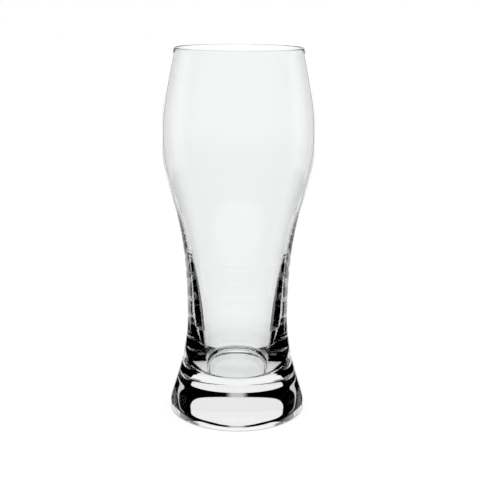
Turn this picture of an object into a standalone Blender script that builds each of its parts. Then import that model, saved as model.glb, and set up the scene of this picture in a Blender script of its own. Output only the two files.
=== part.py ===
"""Tall beer glass: a blown bowl with a rounded shoulder, fused to a solid flared foot.

Both pieces are turned about Z. The glass stands on Z = 0 with its axis on the origin.
"""

import math

import bpy
from mathutils import Vector

MM = 0.001

# Outside of the glass, heights measured from the table
GLASS_HEIGHT = 205.0 * MM
RIM_RADIUS = 35.2 * MM
BULGE_RADIUS = 42.2 * MM
BULGE_HEIGHT = 155.5 * MM
WAIST_RADIUS = 28.45 * MM
WAIST_HEIGHT = 56.0 * MM
FOOT_RADIUS = 38.4 * MM
HEEL_HEIGHT = 5.2 * MM
HEEL_TUCK = 0.85 * MM
HEEL_EDGE_ANGLE = 50.0

# Slope of the wall at the rim, and how far each tangent pulls along its own stretch of wall
RIM_LEAN = 0.21
RIM_PULL = 0.60
BULGE_PULL_UP = 0.30
BULGE_PULL_DOWN = 0.29
WAIST_PULL_UP = 0.64
WAIST_PULL_DOWN = 0.51
FOOT_PULL = 0.095

# Wall of the bowl and the hollow inside it
RIM_WALL = 1.0 * MM
BULGE_WALL = 1.2 * MM
THROAT_WALL = 9.0 * MM
FLOOR_HEIGHT = 22.6 * MM
FLOOR_CORNER_RADIUS = 3.0 * MM
THROAT_LEAN = 0.05
INNER_PULL_DOWN = 0.23
INNER_PULL_UP = 0.68

# Fused seam between the bowl and the foot, a shallow dish under the floor of the bowl
BOWL_FLOOR_THICKNESS = 5.0 * MM
SEAM_RISE = 3.0 * MM
SEAM_GAP = 0.3 * MM

# Underside of the foot: a flat standing ring, then a shallow hollow in to the axis
STANDING_RING_WIDTH = 1.0 * MM
HOLLOW_DEPTH = 0.95 * MM

# Fineness of the turned surfaces
TURN_STEPS = 48
CURVE_STEPS = 10
INNER_STEPS = 14
CORNER_STEPS = 6
LIP_STEPS = 4
SEAM_STEPS = 4
HOLLOW_STEPS = 8
MERGE_DISTANCE = 0.01 * MM

GLASS_COLOUR = (0.94, 0.97, 0.96, 1.0)
GLASS_ROUGHNESS = 0.02
GLASS_IOR = 1.52


def clear_scene():
    for item in list(bpy.data.objects):
        bpy.data.objects.remove(item, do_unlink=True)


def point(radius, height):
    return Vector((radius, 0.0, height))


def curve(start, start_handle, end_handle, end, steps=CURVE_STEPS):
    """Points of a cubic curve from start to end, both ends included."""
    points = []
    for step in range(steps + 1):
        t = step / steps
        s = 1.0 - t
        points.append(
            s ** 3 * start + 3 * s * s * t * start_handle + 3 * s * t * t * end_handle + t ** 3 * end
        )
    return points


def arc(centre, radius_across, radius_up, first_angle, last_angle, steps):
    """Points of an elliptic arc in the profile plane, angles in degrees from +X."""
    points = []
    for step in range(steps + 1):
        angle = math.radians(first_angle + (last_angle - first_angle) * step / steps)
        points.append(centre + point(radius_across * math.cos(angle), radius_up * math.sin(angle)))
    return points


def shoulder(rim_radius, rim_height, bulge_radius):
    """Wall from the rim down to the fullest part of the bowl."""
    rise = rim_height - BULGE_HEIGHT
    return curve(
        point(rim_radius, rim_height),
        point(rim_radius + RIM_LEAN * RIM_PULL * rise, rim_height - RIM_PULL * rise),
        point(bulge_radius, BULGE_HEIGHT + BULGE_PULL_UP * rise),
        point(bulge_radius, BULGE_HEIGHT),
    )


def outer_wall():
    """Outline of the whole glass, from the rim down to the widest circle of the foot."""
    body = BULGE_HEIGHT - WAIST_HEIGHT
    flare = WAIST_HEIGHT - HEEL_HEIGHT
    upper = shoulder(RIM_RADIUS, lip_height(), BULGE_RADIUS)
    middle = curve(
        point(BULGE_RADIUS, BULGE_HEIGHT),
        point(BULGE_RADIUS, BULGE_HEIGHT - BULGE_PULL_DOWN * body),
        point(WAIST_RADIUS, WAIST_HEIGHT + WAIST_PULL_UP * body),
        point(WAIST_RADIUS, WAIST_HEIGHT),
    )
    lower = curve(
        point(WAIST_RADIUS, WAIST_HEIGHT),
        point(WAIST_RADIUS, WAIST_HEIGHT - WAIST_PULL_DOWN * flare),
        point(FOOT_RADIUS, HEEL_HEIGHT + FOOT_PULL * flare),
        point(FOOT_RADIUS, HEEL_HEIGHT),
    )
    return upper + middle[1:] + lower[1:]


def inner_wall():
    """Inside of the bowl from the rim down to where the floor's corner begins."""
    corner_top = FLOOR_HEIGHT + FLOOR_CORNER_RADIUS
    throat_radius = WAIST_RADIUS - THROAT_WALL
    depth = BULGE_HEIGHT - corner_top
    inner_bulge = BULGE_RADIUS - BULGE_WALL
    upper = shoulder(RIM_RADIUS - RIM_WALL, lip_height(), inner_bulge)
    lower = curve(
        point(inner_bulge, BULGE_HEIGHT),
        point(inner_bulge, BULGE_HEIGHT - INNER_PULL_DOWN * depth),
        point(throat_radius + THROAT_LEAN * INNER_PULL_UP * depth, corner_top + INNER_PULL_UP * depth),
        point(throat_radius, corner_top),
        INNER_STEPS,
    )
    return upper + lower[1:]


def lip_height():
    """Height where the walls end and the rounded lip begins."""
    return GLASS_HEIGHT - RIM_WALL / 2


def seam_height():
    """Height of the bowl's lowest point, where the seam crosses the axis."""
    return FLOOR_HEIGHT - BOWL_FLOOR_THICKNESS


def radius_at(wall, height):
    """Radius of the outer wall at a height, between its two nearest points."""
    for above, below in zip(wall, wall[1:]):
        if above.z >= height >= below.z:
            share = (above.z - height) / (above.z - below.z)
            return above.x + (below.x - above.x) * share
    return wall[-1].x


def seam(edge_radius, axis_height):
    """Dish from the axis out to the wall, lowest on the axis."""
    points = []
    for step in range(SEAM_STEPS + 1):
        share = step / SEAM_STEPS
        points.append(point(edge_radius * share, axis_height + SEAM_RISE * share ** 2))
    return points


def heel():
    """Rounded heel from the widest circle of the foot in to the crisp edge of the standing ring."""
    edge = math.radians(HEEL_EDGE_ANGLE)
    radius_across = HEEL_TUCK / (1.0 - math.cos(edge))
    radius_up = HEEL_HEIGHT / math.sin(edge)
    centre = point(FOOT_RADIUS - radius_across, HEEL_HEIGHT)
    return arc(centre, radius_across, radius_up, 0.0, -HEEL_EDGE_ANGLE, CORNER_STEPS)


def hollow():
    """Shallow hollow of the underside, from the standing ring in to the axis."""
    ring_radius = FOOT_RADIUS - HEEL_TUCK - STANDING_RING_WIDTH
    points = []
    for step in range(HOLLOW_STEPS + 1):
        share = 1.0 - step / HOLLOW_STEPS
        points.append(point(ring_radius * share, HOLLOW_DEPTH * (1.0 - share ** 2)))
    return points


def bowl_profile():
    wall = outer_wall()
    inside = inner_wall()
    seam_edge = seam_height() + SEAM_RISE
    corner_centre = point(inside[-1].x - FLOOR_CORNER_RADIUS, inside[-1].z)
    corner = arc(corner_centre, FLOOR_CORNER_RADIUS, FLOOR_CORNER_RADIUS, -90.0, 0.0, CORNER_STEPS)
    lip_centre = point(RIM_RADIUS - RIM_WALL / 2, lip_height())
    lip = arc(lip_centre, RIM_WALL / 2, RIM_WALL / 2, 180.0, 0.0, LIP_STEPS)
    outside = [spot for spot in wall if spot.z > seam_edge]
    underside = seam(radius_at(wall, seam_edge), seam_height())
    return (
        [point(0.0, FLOOR_HEIGHT)]
        + corner
        + inside[-2::-1]
        + lip[1:-1]
        + outside
        + underside[::-1]
    )


def foot_profile():
    wall = outer_wall()
    top_on_axis = seam_height() - SEAM_GAP
    top_edge = top_on_axis + SEAM_RISE
    top = seam(radius_at(wall, top_edge), top_on_axis)
    outside = [spot for spot in wall if spot.z < top_edge]
    return top + outside + heel()[1:] + hollow()


def glass_material(name):
    material = bpy.data.materials.new(name)
    material.use_nodes = True
    shader = material.node_tree.nodes["Principled BSDF"]
    shader.inputs["Base Color"].default_value = GLASS_COLOUR
    shader.inputs["Roughness"].default_value = GLASS_ROUGHNESS
    shader.inputs["Metallic"].default_value = 0.0
    shader.inputs["IOR"].default_value = GLASS_IOR
    shader.inputs["Transmission Weight"].default_value = 1.0
    return material


def turned_piece(name, profile, material, collection):
    """Turn a profile about Z into one closed piece."""
    mesh = bpy.data.meshes.new(name)
    edges = [(index, index + 1) for index in range(len(profile) - 1)]
    mesh.from_pydata([tuple(spot) for spot in profile], edges, [])
    mesh.materials.append(material)
    piece = bpy.data.objects.new(name, mesh)
    collection.objects.link(piece)
    turn = piece.modifiers.new("turn", "SCREW")
    turn.axis = "Z"
    turn.angle = 2.0 * math.pi
    turn.steps = TURN_STEPS
    turn.render_steps = TURN_STEPS
    turn.use_merge_vertices = True
    turn.merge_threshold = MERGE_DISTANCE
    turn.use_smooth_shade = True
    return piece


def build_glass():
    clear_scene()
    collection = bpy.data.collections.new("beer_glass")
    bpy.context.scene.collection.children.link(collection)
    turned_piece("bowl", bowl_profile(), glass_material("bowl_glass"), collection)
    turned_piece("foot", foot_profile(), glass_material("foot_glass"), collection)


build_glass()
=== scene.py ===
"""Tall beer glass on a white table, lit from behind by a wide white panel between dark sides.

The bowl and the foot are turned pieces. They share their fused seam, which the eye can't see.
"""

import math

import bpy
from mathutils import Matrix, Vector


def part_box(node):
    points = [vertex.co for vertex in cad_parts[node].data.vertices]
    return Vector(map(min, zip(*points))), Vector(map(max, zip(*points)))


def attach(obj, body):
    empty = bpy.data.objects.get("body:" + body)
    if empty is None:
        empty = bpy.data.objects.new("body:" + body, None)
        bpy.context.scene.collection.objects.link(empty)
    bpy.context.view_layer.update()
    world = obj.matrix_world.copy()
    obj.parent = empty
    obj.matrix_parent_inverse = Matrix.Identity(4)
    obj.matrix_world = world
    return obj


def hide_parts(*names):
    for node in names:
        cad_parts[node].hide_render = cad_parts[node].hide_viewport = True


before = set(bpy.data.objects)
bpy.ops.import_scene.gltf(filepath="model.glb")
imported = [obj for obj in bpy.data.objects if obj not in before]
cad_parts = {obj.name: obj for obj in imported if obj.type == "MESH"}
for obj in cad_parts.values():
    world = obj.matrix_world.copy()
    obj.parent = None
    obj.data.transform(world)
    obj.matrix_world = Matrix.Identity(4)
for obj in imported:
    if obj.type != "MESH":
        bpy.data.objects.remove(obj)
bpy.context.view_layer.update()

MM = 0.001

# Sizes that the frame gives
GLASS_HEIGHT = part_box("bowl")[1].z
BULGE_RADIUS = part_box("bowl")[1].x
FOOT_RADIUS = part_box("foot")[1].x

# Outside of the glass, heights from the table
RIM_RADIUS = 35.2 * MM
BULGE_HEIGHT = 155.5 * MM
WAIST_RADIUS = 28.45 * MM
WAIST_HEIGHT = 56.0 * MM
HEEL_HEIGHT = 4.5 * MM
HEEL_TUCK = 0.85 * MM
HEEL_EDGE_ANGLE = 50.0
HEEL_EDGE_ROUNDING = 0.3 * MM

# Slope of the wall at the rim, and how far each tangent pulls along its own stretch of wall
RIM_LEAN = 0.21
RIM_PULL = 0.60
BULGE_PULL_UP = 0.30
BULGE_PULL_DOWN = 0.29
WAIST_PULL_UP = 0.64
WAIST_PULL_DOWN = 0.51
FOOT_PULL = 0.095

# Inside of the bowl
RIM_WALL = 1.0 * MM
BULGE_WALL = 1.2 * MM
THROAT_WALL = 9.0 * MM
FLOOR_HEIGHT = 22.6 * MM
FLOOR_CORNER_RADIUS = 3.0 * MM
THROAT_LEAN = 0.05
INNER_PULL_DOWN = 0.23
INNER_PULL_UP = 0.68

# Faint turning rings on the inside, where the wall is thick
RIPPLE_PITCH = 2.1 * MM
RIPPLE_DEPTH = 0.0025 * MM
RIPPLE_FOOT = 30.0 * MM
RIPPLE_TOP = 112.0 * MM
RIPPLE_FADE = 8.0 * MM
RING_HEIGHTS = (39.9 * MM, 50.9 * MM, 55.6 * MM, 67.6 * MM, 81.7 * MM, 89.3 * MM, 94.6 * MM)
RING_DEPTH = 0.012 * MM
RING_WIDTH = 0.5 * MM

# Fused seam and underside
SEAM_UNDER_FLOOR = 5.15 * MM
SEAM_HEIGHT = FLOOR_HEIGHT - SEAM_UNDER_FLOOR
SEAM_RISE = 3.0 * MM
SEAM_FACING = 0.9
STANDING_RING_WIDTH = 1.0 * MM
HOLLOW_DEPTH = 0.95 * MM

# Fineness of the turned pieces
TURN_STEPS = 160
SHOULDER_STEPS = 24
BODY_STEPS = 110
FLARE_STEPS = 90
INSIDE_STEPS = 320
FLOOR_STEPS = 6
FLOOR_CORNER_STEPS = 24
LIP_STEPS = 12
SEAM_STEPS = 12
HOLLOW_STEPS = 40
HEEL_STEPS = 20
HEEL_EDGE_STEPS = 6
SMOOTH_ANGLE = 40.0
MERGE_DISTANCE = 0.002 * MM

# Glass, from its clearest to its most tinted cords
BOWL_CLEAR = (0.992, 1.0, 0.997, 1.0)
BOWL_TINT = (0.978, 0.995, 0.989, 1.0)
FOOT_CLEAR = (0.90, 0.905, 0.903, 1.0)
FOOT_TINT = (0.87, 0.88, 0.876, 1.0)
GLASS_IOR = 1.52
CORD_SCALE = (60.0, 60.0, 14.0)
CORD_DETAIL = 3.0
BOUNCES = 48

WHITE = (1.0, 1.0, 1.0, 1.0)
BLACK = (0.0, 0.0, 0.0, 1.0)

# Camera, with the picture's side and the axis of the glass in pixels
CAMERA_AZIMUTH = 225.0
CAMERA_DISTANCE = 545.0 * MM
CAMERA_HEIGHT = 234.5 * MM
CAMERA_TILT = 14.0
CAMERA_ROLL = 0.36
CAMERA_LENS = 75.08
CAMERA_SENSOR = 36.0
FRAME_SIDE = 480
AXIS_LEFT_OF_CENTRE = 2.1

# Light panel behind the glass. The studio's angles are degrees aside of the line of sight and above level
PANEL_HALF_ANGLE = 36.0
PANEL_LOW_EDGE = 19.8
PANEL_SOFTNESS = 0.15
PANEL_SAG = 4.3
PANEL_CORNER_RISE = 1.5
PANEL_CORNER_POWER = 8.0
PANEL_SPREAD_FROM = 26.0
PANEL_SPREAD = 0.65
EDGE_SOFTNESS = 0.5

# White table as the glass shows it, out to its far edge, with a shade along its sides
TABLE_FAR_EDGE = 17.3
TABLE_EDGE_BEND_FROM = 20.0
TABLE_EDGE_BEND = 0.05
TABLE_NEAR_EDGE = -43.5
TABLE_NEAR_SPREAD = 0.15
TABLE_NARROW = (-33.0, -28.5)
TABLE_NARROW_BY = 3.0
TABLE_NARROW_SOFTNESS = 1.0
SHADE_FROM = 25.0
SHADE_TO = 34.0
SHADE_FOOT = -20.5
SHADE_TOP = 12.0
SHADE_DEPTH = 0.7
SHADE_SOFTNESS = 2.0

# Dim skirt and thin streak at each side
SKIRT_TO = 88.0
SKIRT_FOOT = -20.0
SKIRT_TOP = 14.0
SKIRT_SOFTNESS = 12.0
SKIRT_GLOW = 0.42
STREAK_FROM = 43.5
STREAK_TO = 66.0
STREAK_SLOPE = 0.14
STREAK_FOOT = 14.2
STREAK_TOP = 15.1
STREAK_SOFTNESS = 0.12
STREAK_GLOW = 0.8

# Steep light from the table, an upright strip, the ceiling, and the room behind the camera
UNDER_FOOT_STEEP = -56.0
UNDER_FOOT_GLOW = 0.87
CAMERA_SIDE_FROM = 120.0
CAMERA_SIDE_BELOW = -44.0
CAMERA_SIDE_GLOW = 0.82
STRIP_HALF_ANGLE = 4.6
STRIP_SOFTNESS = 2.2
STRIP_GLOW = 0.64
OVERHEAD_FROM = 65.0
ROOM_FROM = 99.0

# Brightness of those lights, and how it changes with their height
STUDIO_GLOW = 0.92
NEAR_RISE = (-40.0, -26.0)
NEAR_GAIN = 0.13
FAR_RISE = (-10.0, -7.5)
FAR_GAIN = 0.05
PANEL_RISE = (14.0, 20.0)
PANEL_LOSS = 0.11

# Table that the eye sees, with a painted contact shadow where the foot touches it
TABLE_SIDE = 6.0
TABLE_PAPER = 0.25
TABLE_LIFT = 0.80
CONTACT_SHADOW_REACH = 1.0 * MM

# Low curved cards beside the glass
CARD_DISTANCE = 150.0 * MM
CARD_STEPS = 24
WHITE_CARD_TO = 56.0
WHITE_CARD_FOOT = 8.0 * MM
WHITE_CARD_TOP = 47.0 * MM
WHITE_CARD_GLOW = 1.0
BLACK_CARD_TO = 105.0
BLACK_CARD_FOOT = -60.0 * MM
BLACK_CARD_TOP = 45.0 * MM

# Patch under the foot, seen only through the glass: painted light in the middle, a grey film of painted
# shadow round it, then a dark rim of painted contact shadow
PATCH_DROP = 0.15 * MM
PATCH_RADIUS = 32.5 * MM
PATCH_SIDES = 96
PATCH_PAINTED_LIGHT_GLOW = 0.85
PATCH_PAINTED_LIGHT_EDGE = (23.5 * MM, 24.5 * MM)
PATCH_SHADOW_RIM = (29.0 * MM, 29.8 * MM)
PATCH_SHADOW_FILM = 0.81


def point(radius, height):
    return Vector((radius, 0.0, height))


def curve(start, start_handle, end_handle, end, steps):
    """Points of a cubic curve from start to end, both ends included."""
    points = []
    for step in range(steps + 1):
        t = step / steps
        s = 1.0 - t
        points.append(
            s ** 3 * start + 3 * s * s * t * start_handle + 3 * s * t * t * end_handle + t ** 3 * end
        )
    return points


def arc(centre, radius_across, radius_up, first_angle, last_angle, steps):
    """Points of an elliptic arc in the profile plane, angles in degrees from +X."""
    points = []
    for step in range(steps + 1):
        angle = math.radians(first_angle + (last_angle - first_angle) * step / steps)
        points.append(centre + point(radius_across * math.cos(angle), radius_up * math.sin(angle)))
    return points


def lip_height():
    """Height where the walls end and the rounded lip begins."""
    return GLASS_HEIGHT - RIM_WALL / 2


def shoulder(rim_radius, bulge_radius):
    """Wall from the rim down to the fullest part of the bowl."""
    rise = lip_height() - BULGE_HEIGHT
    return curve(
        point(rim_radius, lip_height()),
        point(rim_radius + RIM_LEAN * RIM_PULL * rise, lip_height() - RIM_PULL * rise),
        point(bulge_radius, BULGE_HEIGHT + BULGE_PULL_UP * rise),
        point(bulge_radius, BULGE_HEIGHT),
        SHOULDER_STEPS,
    )


def outer_wall():
    """Outline of the whole glass, from the rim down to the widest circle of the foot."""
    body = BULGE_HEIGHT - WAIST_HEIGHT
    flare = WAIST_HEIGHT - HEEL_HEIGHT
    upper = shoulder(RIM_RADIUS, BULGE_RADIUS)
    middle = curve(
        point(BULGE_RADIUS, BULGE_HEIGHT),
        point(BULGE_RADIUS, BULGE_HEIGHT - BULGE_PULL_DOWN * body),
        point(WAIST_RADIUS, WAIST_HEIGHT + WAIST_PULL_UP * body),
        point(WAIST_RADIUS, WAIST_HEIGHT),
        BODY_STEPS,
    )
    lower = curve(
        point(WAIST_RADIUS, WAIST_HEIGHT),
        point(WAIST_RADIUS, WAIST_HEIGHT - WAIST_PULL_DOWN * flare),
        point(FOOT_RADIUS, HEEL_HEIGHT + FOOT_PULL * flare),
        point(FOOT_RADIUS, HEEL_HEIGHT),
        FLARE_STEPS,
    )
    return upper + middle[1:] + lower[1:]


def turning_rings(height):
    """How far the faint rings of the inside stand out from its smooth curve."""
    fade = min((height - RIPPLE_FOOT) / RIPPLE_FADE, (RIPPLE_TOP - height) / RIPPLE_FADE, 1.0)
    ripple = max(fade, 0.0) * RIPPLE_DEPTH * math.cos(2 * math.pi * height / RIPPLE_PITCH)
    rings = sum(math.exp(-((height - ring) / RING_WIDTH) ** 2) for ring in RING_HEIGHTS)
    return ripple + RING_DEPTH * rings


def inner_wall():
    """Inside of the bowl, from the rim down to where the floor's corner begins."""
    corner_top = FLOOR_HEIGHT + FLOOR_CORNER_RADIUS
    throat_radius = WAIST_RADIUS - THROAT_WALL
    depth = BULGE_HEIGHT - corner_top
    inner_bulge = BULGE_RADIUS - BULGE_WALL
    upper = shoulder(RIM_RADIUS - RIM_WALL, inner_bulge)
    lower = curve(
        point(inner_bulge, BULGE_HEIGHT),
        point(inner_bulge, BULGE_HEIGHT - INNER_PULL_DOWN * depth),
        point(throat_radius + THROAT_LEAN * INNER_PULL_UP * depth, corner_top + INNER_PULL_UP * depth),
        point(throat_radius, corner_top),
        INSIDE_STEPS,
    )
    return upper + [point(spot.x + turning_rings(spot.z), spot.z) for spot in lower[1:]]


def radius_at(wall, height):
    """Radius of the outer wall at a height, between its two nearest points."""
    for upper, lower in zip(wall, wall[1:]):
        if upper.z >= height >= lower.z:
            share = (upper.z - height) / (upper.z - lower.z)
            return upper.x + (lower.x - upper.x) * share
    return wall[-1].x


def seam(wall):
    """Dish from the axis out to the wall, lowest on the axis."""
    edge_radius = radius_at(wall, SEAM_HEIGHT + SEAM_RISE)
    points = []
    for step in range(SEAM_STEPS + 1):
        share = step / SEAM_STEPS
        points.append(point(edge_radius * share, SEAM_HEIGHT + SEAM_RISE * share ** 2))
    return points


def heel():
    """Rounded heel from the widest circle of the foot, through its rounded edge, to the standing ring."""
    edge = math.radians(HEEL_EDGE_ANGLE)
    across = HEEL_TUCK / (1.0 - math.cos(edge))
    up = HEEL_HEIGHT / math.sin(edge)
    side = arc(point(FOOT_RADIUS - across, HEEL_HEIGHT), across, up, 0.0, -HEEL_EDGE_ANGLE, HEEL_STEPS)
    lean = math.atan2(across * math.sin(edge), up * math.cos(edge))
    cut = HEEL_EDGE_ROUNDING * math.tan((math.pi / 2 - lean) / 2)
    rounding = arc(
        point(side[-1].x - cut, HEEL_EDGE_ROUNDING),
        HEEL_EDGE_ROUNDING,
        HEEL_EDGE_ROUNDING,
        -math.degrees(lean),
        -90.0,
        HEEL_EDGE_STEPS,
    )
    return [spot for spot in side[1:] if spot.z > rounding[0].z + MERGE_DISTANCE] + rounding


def hollow():
    """Shallow hollow of the underside, from the standing ring in to the axis."""
    ring_radius = FOOT_RADIUS - HEEL_TUCK - STANDING_RING_WIDTH
    points = []
    for step in range(HOLLOW_STEPS + 1):
        share = 1.0 - step / HOLLOW_STEPS
        points.append(point(ring_radius * share, HOLLOW_DEPTH * (1.0 - share ** 2)))
    return points


def bowl_profile():
    wall = outer_wall()
    inside = inner_wall()
    corner_centre = point(inside[-1].x - FLOOR_CORNER_RADIUS, inside[-1].z)
    floor = [point(corner_centre.x * step / FLOOR_STEPS, FLOOR_HEIGHT) for step in range(FLOOR_STEPS)]
    corner = arc(
        corner_centre, FLOOR_CORNER_RADIUS, FLOOR_CORNER_RADIUS, -90.0, 0.0, FLOOR_CORNER_STEPS
    )
    lip_centre = point(RIM_RADIUS - RIM_WALL / 2, lip_height())
    lip = arc(lip_centre, RIM_WALL / 2, RIM_WALL / 2, 180.0, 0.0, LIP_STEPS)
    outside = [spot for spot in wall if spot.z > SEAM_HEIGHT + SEAM_RISE]
    return floor + corner + inside[-2::-1] + lip[1:-1] + outside + seam(wall)[::-1]


def foot_profile():
    wall = outer_wall()
    outside = [spot for spot in wall if spot.z < SEAM_HEIGHT + SEAM_RISE]
    return seam(wall) + outside + heel() + hollow()


def single_vertex(name, place):
    """New object in edit mode, drawn in to one selected vertex."""
    bpy.ops.object.select_all(action="DESELECT")
    bpy.ops.mesh.primitive_plane_add(size=MM)
    thing = bpy.context.object
    thing.name = name
    thing.data.name = name
    bpy.ops.object.mode_set(mode="EDIT")
    bpy.ops.mesh.select_all(action="SELECT")
    bpy.ops.mesh.merge(type="CENTER")
    bpy.ops.transform.translate(value=place)
    return thing


def turned_piece(name, profile):
    """Draw one vertex out along the profile, then spin that line once round the axis."""
    piece = single_vertex(name, profile[0])
    for start, end in zip(profile, profile[1:]):
        bpy.ops.mesh.extrude_region_move(TRANSFORM_OT_translate={"value": end - start})
    bpy.ops.mesh.select_all(action="SELECT")
    bpy.ops.mesh.spin(steps=TURN_STEPS, angle=2 * math.pi, center=(0, 0, 0), axis=(0, 0, 1))
    bpy.ops.mesh.select_all(action="SELECT")
    bpy.ops.mesh.remove_doubles(threshold=MERGE_DISTANCE)
    bpy.ops.mesh.normals_make_consistent(inside=False)
    bpy.ops.object.mode_set(mode="OBJECT")
    bpy.ops.object.shade_smooth_by_angle(angle=math.radians(SMOOTH_ANGLE))
    return piece


def paint_seam(piece, is_seam, seam_material):
    """Give the faces of the fused seam their own clear material."""
    piece.data.materials.append(seam_material)
    bpy.ops.object.mode_set(mode="EDIT")
    bpy.ops.mesh.select_all(action="DESELECT")
    bpy.ops.object.mode_set(mode="OBJECT")
    for face in piece.data.polygons:
        face.select = is_seam(face)
    bpy.ops.object.mode_set(mode="EDIT")
    piece.active_material_index = 1
    bpy.ops.object.material_slot_assign()
    bpy.ops.object.mode_set(mode="OBJECT")


def is_bowl_seam(face):
    return face.normal.z < -SEAM_FACING and face.center.z < FLOOR_HEIGHT


def is_foot_seam(face):
    return face.normal.z > SEAM_FACING and face.center.z > SEAM_HEIGHT / 2


def clear_glass(name, clear, tinted):
    """Polished glass whose faint tint drifts in cords up the piece."""
    material = bpy.data.materials.new(name)
    material.use_nodes = True
    tree = material.node_tree
    shader = tree.nodes["Principled BSDF"]
    place = tree.nodes.new("ShaderNodeTexCoord")
    stretch = tree.nodes.new("ShaderNodeMapping")
    stretch.inputs["Scale"].default_value = CORD_SCALE
    cords = tree.nodes.new("ShaderNodeTexNoise")
    cords.inputs["Scale"].default_value = 1.0
    cords.inputs["Detail"].default_value = CORD_DETAIL
    tint = tree.nodes.new("ShaderNodeMix")
    tint.data_type = "RGBA"
    tint.inputs["A"].default_value = clear
    tint.inputs["B"].default_value = tinted
    tree.links.new(place.outputs["Object"], stretch.inputs["Vector"])
    tree.links.new(stretch.outputs["Vector"], cords.inputs["Vector"])
    tree.links.new(cords.outputs["Fac"], tint.inputs["Factor"])
    tree.links.new(tint.outputs["Result"], shader.inputs["Base Color"])
    shader.inputs["Roughness"].default_value = 0.0
    shader.inputs["IOR"].default_value = GLASS_IOR
    shader.inputs["Transmission Weight"].default_value = 1.0
    return material


def fused_seam():
    """Nothing to see, where the two gathers of glass have melted into one."""
    material = bpy.data.materials.new("fused_seam")
    material.use_nodes = True
    shader = material.node_tree.nodes["Principled BSDF"]
    shader.inputs["Alpha"].default_value = 0.0
    return material


def glow_material(name, glow):
    """Even white glow, or plain black where the glow is 0."""
    material = bpy.data.materials.new(name)
    material.use_nodes = True
    shader = material.node_tree.nodes["Principled BSDF"]
    shader.inputs["Base Color"].default_value = BLACK
    shader.inputs["Specular IOR Level"].default_value = 0.0
    shader.inputs["Emission Color"].default_value = WHITE
    shader.inputs["Emission Strength"].default_value = glow
    return material


def math_node(tree, operation, first, second=None):
    """One sum in a node tree, whose values are numbers or other nodes' outputs."""
    node = tree.nodes.new("ShaderNodeMath")
    node.operation = operation
    for socket, value in zip(node.inputs, (first, second)):
        if isinstance(value, (int, float)):
            socket.default_value = value
        elif value is not None:
            tree.links.new(value, socket)
    return node.outputs[0]


def ramp(tree, value, low, high):
    """0 below low, 1 above high, eased between them."""
    node = tree.nodes.new("ShaderNodeMapRange")
    node.interpolation_type = "SMOOTHSTEP"
    node.inputs["From Min"].default_value = low
    node.inputs["From Max"].default_value = high
    tree.links.new(value, node.inputs["Value"])
    return node.outputs["Result"]


def above(tree, value, limit, soft):
    """1 above the limit, 0 below it, with a soft edge."""
    return ramp(tree, value, limit - soft, limit + soft)


def below(tree, value, limit, soft):
    """1 below the limit, 0 above it, with a soft edge."""
    return ramp(tree, value, limit + soft, limit - soft)


def between(tree, value, low, high, soft):
    """1 from low to high, with soft edges, 0 elsewhere."""
    return product(tree, above(tree, value, low, soft), below(tree, value, high, soft))


def past(tree, value, limit):
    """How far the value lies past the limit, 0 before it."""
    return math_node(tree, "MAXIMUM", math_node(tree, "SUBTRACT", value, limit), 0.0)


def product(tree, *factors):
    result = factors[0]
    for factor in factors[1:]:
        result = math_node(tree, "MULTIPLY", result, factor)
    return result


def brightest(tree, *fields):
    result = fields[0]
    for field in fields[1:]:
        result = math_node(tree, "MAXIMUM", result, field)
    return result


def angles_from_glass(tree):
    """How far a direction lies aside of the camera's line of sight and above level, in degrees."""
    direction = tree.nodes.new("ShaderNodeTexCoord")
    turn = tree.nodes.new("ShaderNodeVectorRotate")
    turn.rotation_type = "Z_AXIS"
    turn.inputs["Angle"].default_value = math.radians(-CAMERA_AZIMUTH)
    tree.links.new(direction.outputs["Generated"], turn.inputs["Vector"])
    split = tree.nodes.new("ShaderNodeSeparateXYZ")
    tree.links.new(turn.outputs["Vector"], split.inputs["Vector"])
    heading = math_node(tree, "ARCTAN2", split.outputs["X"], split.outputs["Y"])
    aside = math_node(tree, "ABSOLUTE", math_node(tree, "DEGREES", heading))
    rise = math_node(tree, "DEGREES", math_node(tree, "ARCSINE", split.outputs["Z"]))
    return aside, rise


def panel_behind(tree, aside, rise):
    """Wide panel whose lower edge sags in the middle and whose sides spread towards the top."""
    out = math_node(tree, "DIVIDE", aside, PANEL_HALF_ANGLE)
    sag = product(tree, math_node(tree, "POWER", out, 2.0), PANEL_SAG)
    corner = product(tree, math_node(tree, "POWER", out, PANEL_CORNER_POWER), PANEL_CORNER_RISE)
    over_edge = math_node(tree, "SUBTRACT", rise, math_node(tree, "ADD", sag, corner))
    spread = product(tree, past(tree, rise, PANEL_SPREAD_FROM), PANEL_SPREAD)
    within = math_node(tree, "SUBTRACT", aside, spread)
    return product(
        tree,
        below(tree, within, PANEL_HALF_ANGLE, EDGE_SOFTNESS),
        above(tree, over_edge, PANEL_LOW_EDGE, PANEL_SOFTNESS),
    )


def table_around(tree, aside, rise):
    """White table between its near and far edges, with a shade along each side."""
    shade = product(
        tree,
        between(tree, aside, SHADE_FROM, SHADE_TO, SHADE_SOFTNESS),
        between(tree, rise, SHADE_FOOT, SHADE_TOP, SHADE_SOFTNESS),
        SHADE_DEPTH,
    )
    over_near = math_node(tree, "ADD", rise, product(tree, aside, TABLE_NEAR_SPREAD))
    past_bend = past(tree, aside, TABLE_EDGE_BEND_FROM)
    bend = product(tree, past_bend, past_bend, TABLE_EDGE_BEND)
    narrow = product(tree, between(tree, rise, *TABLE_NARROW, TABLE_NARROW_SOFTNESS), TABLE_NARROW_BY)
    return product(
        tree,
        below(tree, math_node(tree, "ADD", aside, narrow), PANEL_HALF_ANGLE, EDGE_SOFTNESS),
        above(tree, over_near, TABLE_NEAR_EDGE, EDGE_SOFTNESS),
        below(tree, math_node(tree, "ADD", rise, bend), TABLE_FAR_EDGE, EDGE_SOFTNESS),
        math_node(tree, "SUBTRACT", 1.0, shade),
    )


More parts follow.
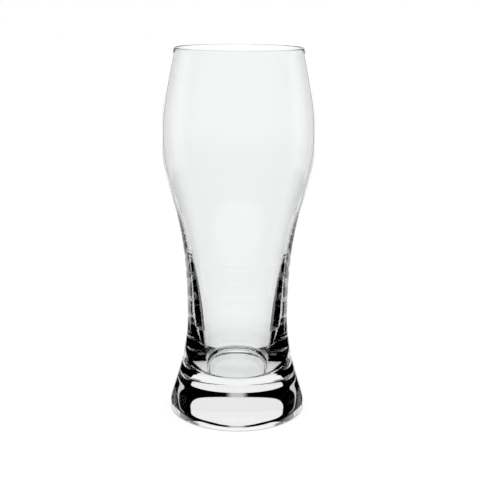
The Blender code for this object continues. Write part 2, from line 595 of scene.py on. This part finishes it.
def side_lights(tree, aside, rise):
    """Dim skirt low at each side of the panel, and a thin slanting streak above it."""
    skirt = product(
        tree,
        between(tree, aside, PANEL_HALF_ANGLE, SKIRT_TO, SKIRT_SOFTNESS),
        between(tree, rise, SKIRT_FOOT, SKIRT_TOP, SHADE_SOFTNESS),
        SKIRT_GLOW,
    )
    slanted = math_node(tree, "SUBTRACT", rise, product(tree, aside, STREAK_SLOPE))
    streak = product(
        tree,
        between(tree, aside, STREAK_FROM, STREAK_TO, EDGE_SOFTNESS),
        between(tree, slanted, STREAK_FOOT, STREAK_TOP, STREAK_SOFTNESS),
        STREAK_GLOW,
    )
    return brightest(tree, skirt, streak)


def steep_lights(tree, aside, rise):
    """What shines up from straight under the foot and from the table on the camera's side."""
    under_foot = product(tree, below(tree, rise, UNDER_FOOT_STEEP, EDGE_SOFTNESS), UNDER_FOOT_GLOW)
    camera_side = product(
        tree,
        above(tree, aside, CAMERA_SIDE_FROM, EDGE_SOFTNESS),
        below(tree, rise, CAMERA_SIDE_BELOW, EDGE_SOFTNESS),
        CAMERA_SIDE_GLOW,
    )
    return brightest(tree, under_foot, camera_side)


def strip_and_ceiling(tree, aside, rise):
    """Narrow upright strip in the line of sight, and the lit ceiling."""
    strip = product(tree, below(tree, aside, STRIP_HALF_ANGLE, STRIP_SOFTNESS), STRIP_GLOW)
    return brightest(tree, strip, above(tree, rise, OVERHEAD_FROM, EDGE_SOFTNESS))


def room_behind_camera(tree, aside, path):
    """White room for light that passes straight through the glass, with no reflection in it."""
    unreflected = math_node(tree, "LESS_THAN", path.outputs["Glossy Depth"], 0.5)
    straight_through = product(tree, path.outputs["Is Transmission Ray"], unreflected)
    return product(tree, above(tree, aside, ROOM_FROM, EDGE_SOFTNESS), straight_through)


def studio_glow(tree, rise):
    """Brightness of the lights by their height."""
    near = product(tree, ramp(tree, rise, *NEAR_RISE), NEAR_GAIN)
    far = product(tree, ramp(tree, rise, *FAR_RISE), FAR_GAIN)
    loss = product(tree, ramp(tree, rise, *PANEL_RISE), PANEL_LOSS)
    gain = math_node(tree, "ADD", far, math_node(tree, "ADD", near, STUDIO_GLOW))
    return math_node(tree, "SUBTRACT", gain, loss)


def light_studio():
    """Plain white for the eye and the table, and for the glass the studio's lights at their angles."""
    world = bpy.data.worlds.new("white_studio")
    world.use_nodes = True
    world.cycles.sampling_method = "NONE"
    bpy.context.scene.world = world
    tree = world.node_tree
    path = tree.nodes.new("ShaderNodeLightPath")
    aside, rise = angles_from_glass(tree)
    lights = brightest(
        tree,
        panel_behind(tree, aside, rise),
        table_around(tree, aside, rise),
        side_lights(tree, aside, rise),
        steep_lights(tree, aside, rise),
        strip_and_ceiling(tree, aside, rise),
        room_behind_camera(tree, aside, path),
    )
    plain = math_node(tree, "MAXIMUM", path.outputs["Is Camera Ray"], path.outputs["Is Diffuse Ray"])
    strength = tree.nodes.new("ShaderNodeMix")
    strength.inputs["B"].default_value = 1.0
    tree.links.new(plain, strength.inputs["Factor"])
    tree.links.new(product(tree, lights, studio_glow(tree, rise)), strength.inputs["A"])
    background = tree.nodes["Background"]
    background.inputs["Color"].default_value = WHITE
    tree.links.new(strength.outputs["Result"], background.inputs["Strength"])


def white_table():
    """White paper whose glow dims in a thin line where the foot touches it, a painted contact shadow."""
    material = bpy.data.materials.new("white_table")
    material.use_nodes = True
    tree = material.node_tree
    shader = tree.nodes["Principled BSDF"]
    shader.inputs["Base Color"].default_value = (TABLE_PAPER, TABLE_PAPER, TABLE_PAPER, 1.0)
    shader.inputs["Roughness"].default_value = 1.0
    shader.inputs["Specular IOR Level"].default_value = 0.0
    shader.inputs["Emission Color"].default_value = WHITE
    # Painted contact shadow: ambient occlusion dims the table's glow near the foot
    contact_shadow = tree.nodes.new("ShaderNodeAmbientOcclusion")
    contact_shadow.inputs["Distance"].default_value = CONTACT_SHADOW_REACH
    lift = product(tree, contact_shadow.outputs["AO"], TABLE_LIFT)
    tree.links.new(lift, shader.inputs["Emission Strength"])
    return material


def lay_table():
    """White table with the glass's soft shadow. What the glass shows of it is among the studio's lights."""
    bpy.ops.object.select_all(action="DESELECT")
    bpy.ops.mesh.primitive_plane_add(size=TABLE_SIDE)
    table = bpy.context.object
    table.name = "white_table"
    table.visible_transmission = False
    table.visible_glossy = False
    table.data.materials.append(white_table())


def seen_through_glass(thing):
    """Keep a card or patch out of the picture, but for what the glass shows of it."""
    thing.visible_camera = False
    thing.visible_diffuse = False
    thing.visible_shadow = False


def low_card(name, side, first_angle, last_angle, foot, top, material):
    """Curved card standing low beside the glass, between two angles aside of the line of sight."""
    start = math.radians(CAMERA_AZIMUTH + 90.0 - side * first_angle)
    card = single_vertex(name, (math.cos(start) * CARD_DISTANCE, math.sin(start) * CARD_DISTANCE, foot))
    bpy.ops.mesh.extrude_region_move(TRANSFORM_OT_translate={"value": (0, 0, top - foot)})
    bpy.ops.mesh.select_all(action="SELECT")
    sweep = side * math.radians(last_angle - first_angle)
    bpy.ops.mesh.spin(steps=CARD_STEPS, angle=sweep, center=(0, 0, 0), axis=(0, 0, 1))
    bpy.ops.object.mode_set(mode="OBJECT")
    card.data.materials.append(material)
    seen_through_glass(card)


def stand_cards():
    """On each side a white card for the heel, a black one under it and a black one that darkens the base."""
    white = glow_material("white_card", WHITE_CARD_GLOW)
    black = glow_material("black_card", 0.0)
    cards = (
        ("white_card", PANEL_HALF_ANGLE, WHITE_CARD_TO, WHITE_CARD_FOOT, WHITE_CARD_TOP, white),
        ("under_card", PANEL_HALF_ANGLE, WHITE_CARD_TO, BLACK_CARD_FOOT, WHITE_CARD_FOOT, black),
        ("black_card", WHITE_CARD_TO, BLACK_CARD_TO, BLACK_CARD_FOOT, BLACK_CARD_TOP, black),
    )
    for side, hand in ((-1, "left"), (1, "right")):
        for name, first_angle, last_angle, foot, top, material in cards:
            low_card(f"{hand}_{name}", side, first_angle, last_angle, foot, top, material)


def painted_patch_material():
    """Painted light in the middle, then a grey film of painted shadow that light passes, then a dark rim of
    painted contact shadow.
    """
    # Painted light: the middle of the patch glows like lit table under the foot
    material = glow_material("painted_light_and_shade_under_foot", PATCH_PAINTED_LIGHT_GLOW)
    tree = material.node_tree
    place = tree.nodes.new("ShaderNodeTexCoord")
    reach = tree.nodes.new("ShaderNodeVectorMath")
    reach.operation = "LENGTH"
    tree.links.new(place.outputs["Object"], reach.inputs[0])
    # Grey film: painted shadow under the foot
    shadow_film = tree.nodes.new("ShaderNodeBsdfTransparent")
    shadow_film.inputs["Color"].default_value = (PATCH_SHADOW_FILM, PATCH_SHADOW_FILM, PATCH_SHADOW_FILM, 1.0)
    # Black rim: painted contact shadow at the foot's edge
    dark = tree.nodes.new("ShaderNodeBsdfDiffuse")
    dark.inputs["Color"].default_value = BLACK
    past_painted_light = tree.nodes.new("ShaderNodeMixShader")
    past_shadow_film = tree.nodes.new("ShaderNodeMixShader")
    tree.links.new(ramp(tree, reach.outputs["Value"], *PATCH_PAINTED_LIGHT_EDGE), past_painted_light.inputs["Fac"])
    tree.links.new(tree.nodes["Principled BSDF"].outputs["BSDF"], past_painted_light.inputs[1])
    tree.links.new(shadow_film.outputs["BSDF"], past_painted_light.inputs[2])
    tree.links.new(ramp(tree, reach.outputs["Value"], *PATCH_SHADOW_RIM), past_shadow_film.inputs["Fac"])
    tree.links.new(past_painted_light.outputs["Shader"], past_shadow_film.inputs[1])
    tree.links.new(dark.outputs["BSDF"], past_shadow_film.inputs[2])
    tree.links.new(past_shadow_film.outputs["Shader"], tree.nodes["Material Output"].inputs["Surface"])
    return material


def paint_light_and_shade_under_foot():
    """Painted light and shadow of the white table right under the foot, which the floor of the bowl shows.
    """
    bpy.ops.object.select_all(action="DESELECT")
    bpy.ops.mesh.primitive_circle_add(
        vertices=PATCH_SIDES, radius=PATCH_RADIUS, fill_type="NGON", location=(0, 0, -PATCH_DROP)
    )
    patch = bpy.context.object
    patch.name = "painted_light_and_shade_under_foot"
    patch.data.materials.append(painted_patch_material())
    patch.visible_glossy = False
    seen_through_glass(patch)


def set_camera():
    data = bpy.data.cameras.new("camera")
    data.lens = CAMERA_LENS
    data.sensor_width = CAMERA_SENSOR
    data.shift_x = AXIS_LEFT_OF_CENTRE / FRAME_SIDE
    camera = bpy.data.objects.new("camera", data)
    bpy.context.scene.collection.objects.link(camera)
    azimuth = math.radians(CAMERA_AZIMUTH)
    back = Vector((math.sin(azimuth), -math.cos(azimuth), 0.0))
    place = Matrix.Translation(back * CAMERA_DISTANCE + Vector((0, 0, CAMERA_HEIGHT)))
    turn = Matrix.Rotation(azimuth, 4, "Z") @ Matrix.Rotation(math.radians(90 - CAMERA_TILT), 4, "X")
    roll = Matrix.Rotation(math.radians(CAMERA_ROLL), 4, "Z")
    camera.matrix_world = place @ turn @ roll
    bpy.context.scene.camera = camera


def set_bounces():
    """Let light pass the many walls of the glass, each way it can."""
    cycles = bpy.context.scene.cycles
    cycles.max_bounces = BOUNCES
    cycles.transmission_bounces = BOUNCES
    cycles.glossy_bounces = BOUNCES
    cycles.transparent_max_bounces = BOUNCES
    cycles.blur_glossy = 0.0


bpy.context.scene.view_settings.view_transform = "Standard"
set_camera()
light_studio()
lay_table()
stand_cards()
paint_light_and_shade_under_foot()
set_bounces()

seam_glass = fused_seam()
bowl = turned_piece("glass_bowl", bowl_profile())
bowl.data.materials.append(clear_glass("bowl_crystal", BOWL_CLEAR, BOWL_TINT))
paint_seam(bowl, is_bowl_seam, seam_glass)
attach(bowl, "root")
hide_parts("bowl")

foot = turned_piece("glass_foot", foot_profile())
foot.data.materials.append(clear_glass("foot_crystal", FOOT_CLEAR, FOOT_TINT))
paint_seam(foot, is_foot_seam, seam_glass)
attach(foot, "root")
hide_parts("foot")
